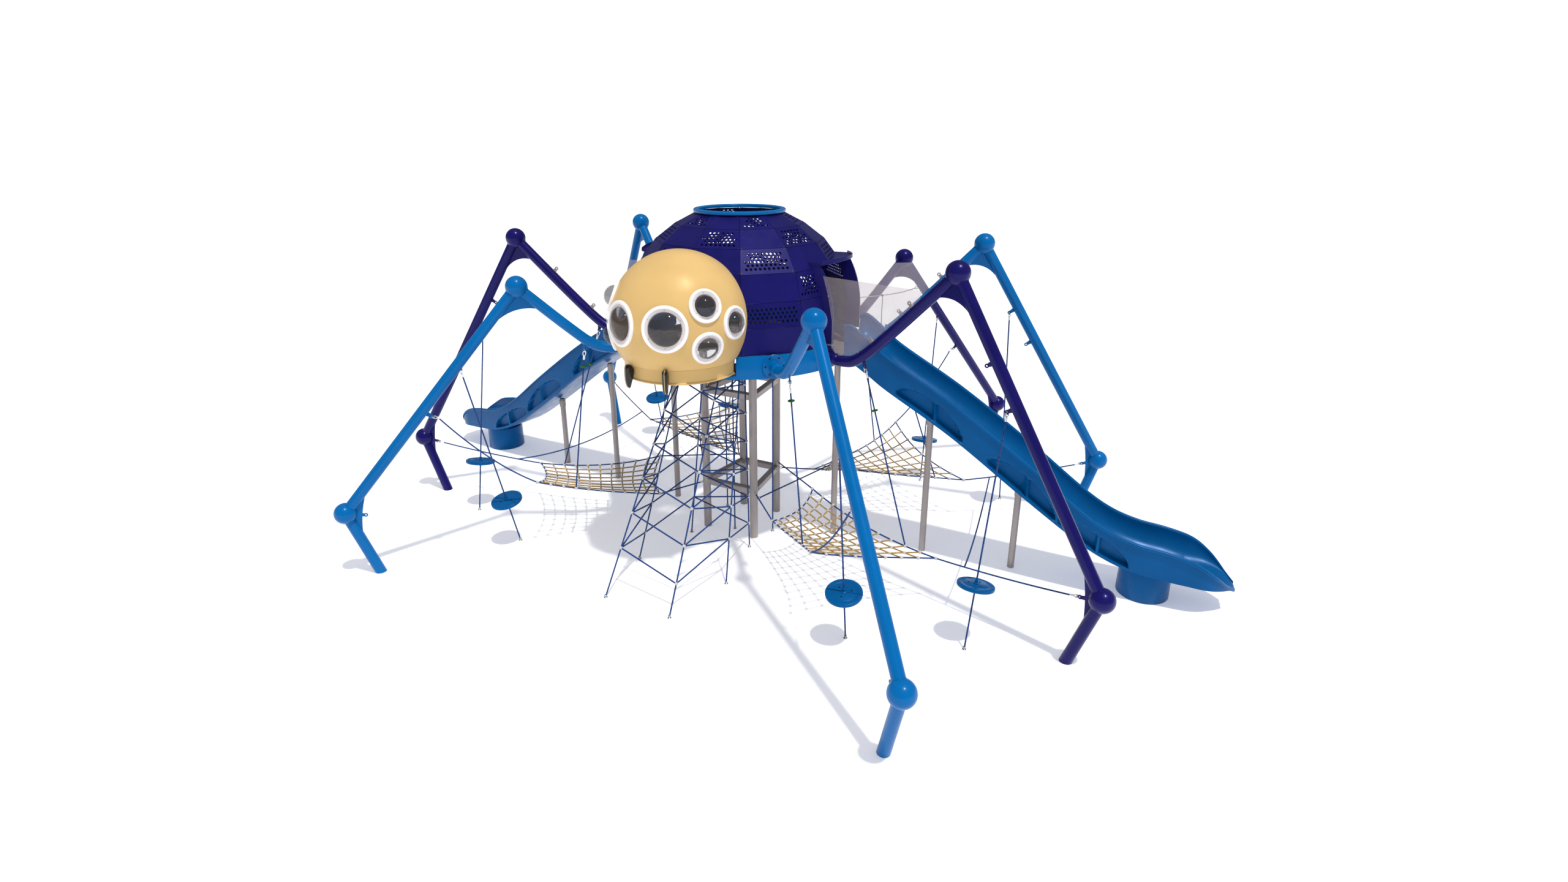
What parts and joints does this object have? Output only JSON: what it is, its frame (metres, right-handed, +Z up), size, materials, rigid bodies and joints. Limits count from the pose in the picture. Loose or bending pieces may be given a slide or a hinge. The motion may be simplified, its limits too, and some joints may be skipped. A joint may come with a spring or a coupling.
{
  "type": "dome climber",
  "caption": "Giant spider climber: faceted dome with a bubble head on bent tube legs, slides, rope nets, rope steps and a climbing tunnel net.",
  "frame": {"origin": "on the ground under the middle of the footprint, 0.43 m behind the axis of the dome", "axes": "+Z up, the head looks along -Y, X runs across from slide to slide"},
  "size_m": [13.137, 8.7072, 4.6375],
  "materials": {
    "leg_blue": "gloss powder coat",
    "leg_navy": "gloss powder coat",
    "step_blue": "moulded, fine grain",
    "eye_white": "moulded ring with a clear tinted window",
    "fang_black": "polished moulded plastic",
    "dome_navy": "rotomoulded, low sheen",
    "slide_blue": "rotomoulded, polished bed",
    "post_grey": "satin powder coat",
    "net_rope": "laid steel-core rope",
    "skirt_blue": "gloss powder coat",
    "floor_grey": "plastic-dipped steel plate",
    "head_beige": "rotomoulded, low sheen",
    "climb_rope": "braided steel-core rope"
  },
  "bodies": {
    "root": {"leg_right_1_arm": "leg_blue", "leg_right_1_shin": "leg_blue", "leg_right_2_arm": "leg_navy", "leg_right_2_shin": "leg_navy", "leg_right_3_arm": "leg_blue", "leg_right_3_shin": "leg_blue", "leg_right_4_arm": "leg_navy", "leg_right_4_shin": "leg_navy", "eye_right_front": "eye_white", "eye_right_upper": "eye_white", "eye_right_lower": "eye_white", "eye_right_side": "eye_white", "fang_right": "fang_black", "door_frame_right": "dome_navy", "slide_right": "slide_blue", "slide_right_post_1": "post_grey", "slide_right_post_2": "post_grey", "slide_right_post_3": "post_grey", "net_front_right": "net_rope", "net_back_right": "net_rope", "leg_left_1_arm": "leg_blue", "leg_left_1_shin": "leg_blue", "leg_left_2_arm": "leg_navy", "leg_left_2_shin": "leg_navy", "leg_left_3_arm": "leg_blue", "leg_left_3_shin": "leg_blue", "leg_left_4_arm": "leg_navy", "leg_left_4_shin": "leg_navy", "eye_left_front": "eye_white", "eye_left_upper": "eye_white", "eye_left_lower": "eye_white", "eye_left_side": "eye_white", "fang_left": "fang_black", "door_frame_left": "dome_navy", "slide_left": "slide_blue", "slide_left_post_1": "post_grey", "slide_left_post_2": "post_grey", "slide_left_post_3": "post_grey", "net_front_left": "net_rope", "net_back_left": "net_rope", "dome_shell": "dome_navy", "dome_top_ring": "skirt_blue", "dome_skirt": "skirt_blue", "dome_floor": "floor_grey", "head_shell": "head_beige", "head_tub": "head_beige", "tower_frame": "post_grey", "tunnel_net": "climb_rope", "climb_rope_1": "climb_rope", "climb_rope_2": "climb_rope", "climb_rope_3": "climb_rope"},
    "step_right_1": {"rope_step_right_1": "step_blue"},
    "step_right_2": {"rope_step_right_2": "step_blue"},
    "step_right_3": {"rope_step_right_3": "step_blue"},
    "step_right_4": {"rope_step_right_4": "step_blue"},
    "step_left_1": {"rope_step_left_1": "step_blue"},
    "step_left_2": {"rope_step_left_2": "step_blue"},
    "step_left_3": {"rope_step_left_3": "step_blue"},
    "step_left_4": {"rope_step_left_4": "step_blue"}
  },
  "joints": [
    {"name": "twist_right_1", "type": "hinge", "parent": "root", "child": "step_right_1", "pos_m": [2.54904, -2.49247, 0.006], "axis": [0.0306, -0.2094, 0.9773], "range_deg": [-25, 25], "stiffness_Nm_per_rad": 6},
    {"name": "twist_right_2", "type": "hinge", "parent": "root", "child": "step_right_2", "pos_m": [3.83666, -2.05687, 0.006], "axis": [0.0356, 0.2119, 0.9766], "range_deg": [-25, 25], "stiffness_Nm_per_rad": 6},
    {"name": "twist_right_3", "type": "hinge", "parent": "root", "child": "step_right_3", "pos_m": [3.28443, 2.13778, 0.006], "axis": [-0.0007, -0.2107, 0.9776], "range_deg": [-25, 25], "stiffness_Nm_per_rad": 6},
    {"name": "twist_right_4", "type": "hinge", "parent": "root", "child": "step_right_4", "pos_m": [1.92794, 2.22528, 0.006], "axis": [-0.0247, 0.2102, 0.9773], "range_deg": [-25, 25], "stiffness_Nm_per_rad": 6},
    {"name": "twist_left_1", "type": "hinge", "parent": "root", "child": "step_left_1", "pos_m": [-2.54904, -2.49247, 0.006], "axis": [-0.0306, -0.2094, 0.9773], "range_deg": [-25, 25], "stiffness_Nm_per_rad": 6},
    {"name": "twist_left_2", "type": "hinge", "parent": "root", "child": "step_left_2", "pos_m": [-3.83666, -2.05687, 0.006], "axis": [-0.0356, 0.2119, 0.9766], "range_deg": [-25, 25], "stiffness_Nm_per_rad": 6},
    {"name": "twist_left_3", "type": "hinge", "parent": "root", "child": "step_left_3", "pos_m": [-3.28443, 2.13778, 0.006], "axis": [0.0007, -0.2107, 0.9776], "range_deg": [-25, 25], "stiffness_Nm_per_rad": 6},
    {"name": "twist_left_4", "type": "hinge", "parent": "root", "child": "step_left_4", "pos_m": [-1.92794, 2.22528, 0.006], "axis": [0.0247, 0.2102, 0.9773], "range_deg": [-25, 25], "stiffness_Nm_per_rad": 6}
  ]
}
